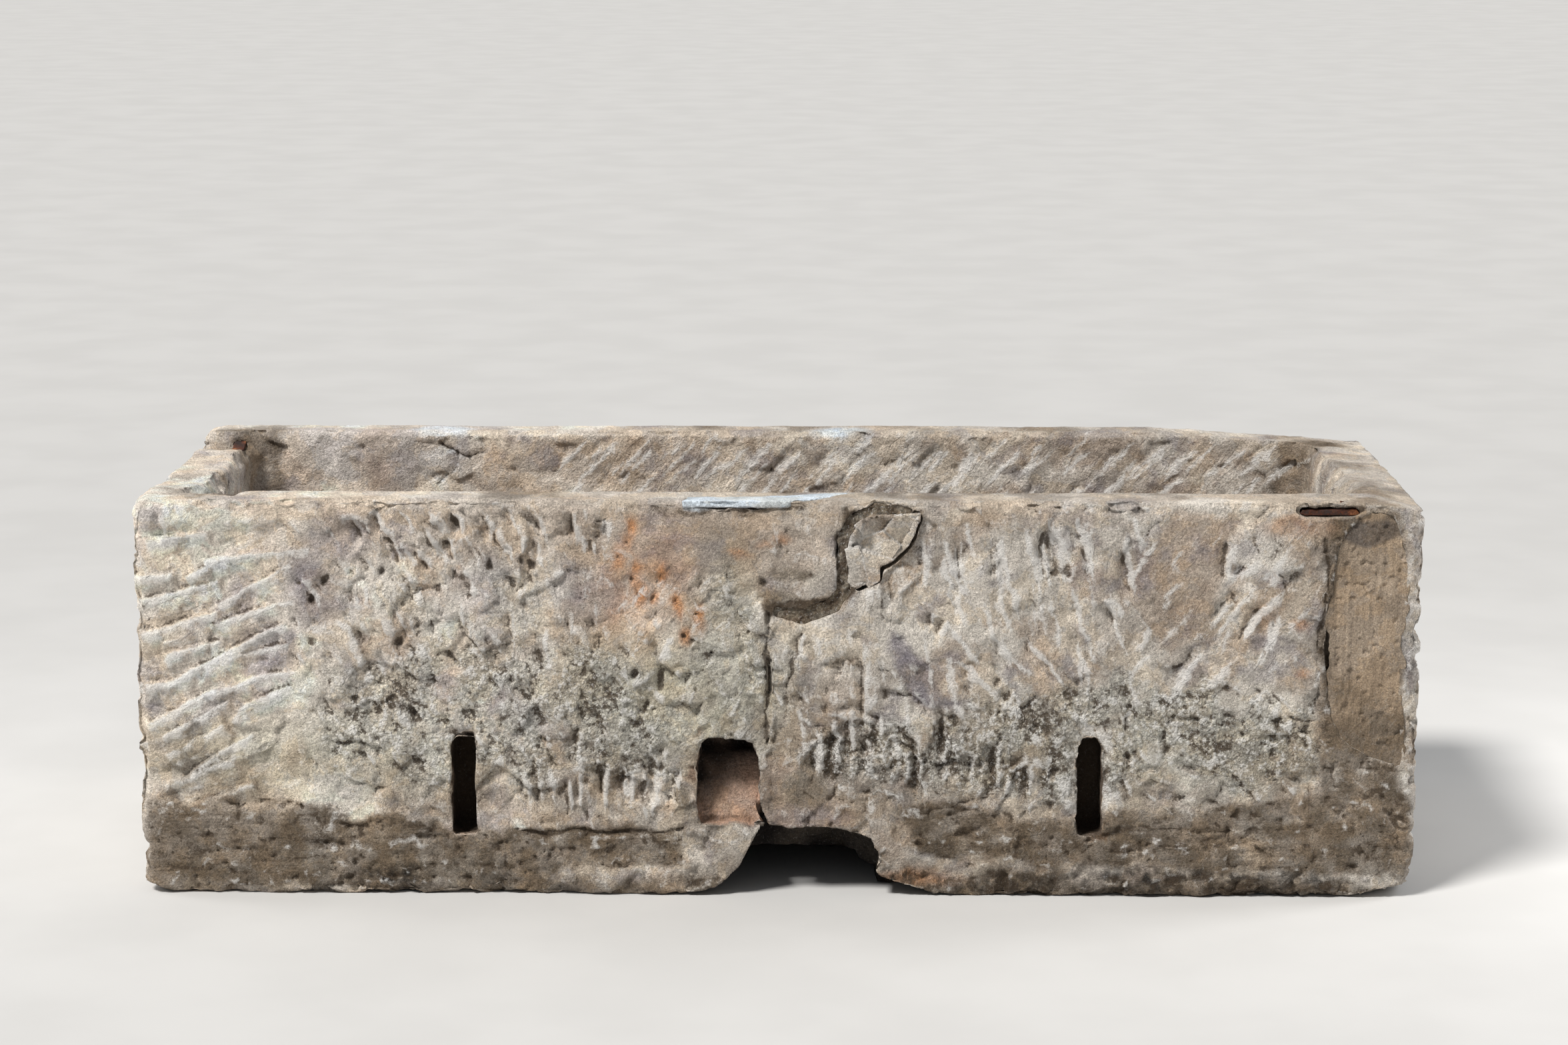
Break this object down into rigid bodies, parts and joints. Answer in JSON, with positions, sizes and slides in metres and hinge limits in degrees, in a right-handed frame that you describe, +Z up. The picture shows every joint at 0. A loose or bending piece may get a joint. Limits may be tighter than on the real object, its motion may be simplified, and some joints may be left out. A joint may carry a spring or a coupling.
{
  "type": "marble trough",
  "caption": "Long open marble trough hollowed from one weathered block, with rough tool marks, blind slots, an outlet recess, a broken foot and old repairs in mortar and iron.",
  "frame": {"origin": "centre of the bounding box at the underside, where the trough stands on the ground", "axes": "+X along the length to the right as seen from the front, -Y out of the front face, +Z up"},
  "size_m": [2.1, 0.76, 0.665],
  "materials": {
    "marble": "weathered, rough tooled, with grey, cream and green-grey patina",
    "mortar": "brown lime mortar, trowelled and granular",
    "plaster": "matt white plaster",
    "gritty_mortar": "dark coarse mortar",
    "iron": "heavily rusted wrought iron"
  },
  "bodies": {
    "root": {"marble_trough": "marble", "corner_mortar_fill": "mortar", "rim_plaster_patch": "plaster", "rim_fragment": "marble", "fragment_mortar_bed": "gritty_mortar", "front_iron_cramp": "iron", "back_left_iron_cramp": "iron"}
  },
  "joints": []
}
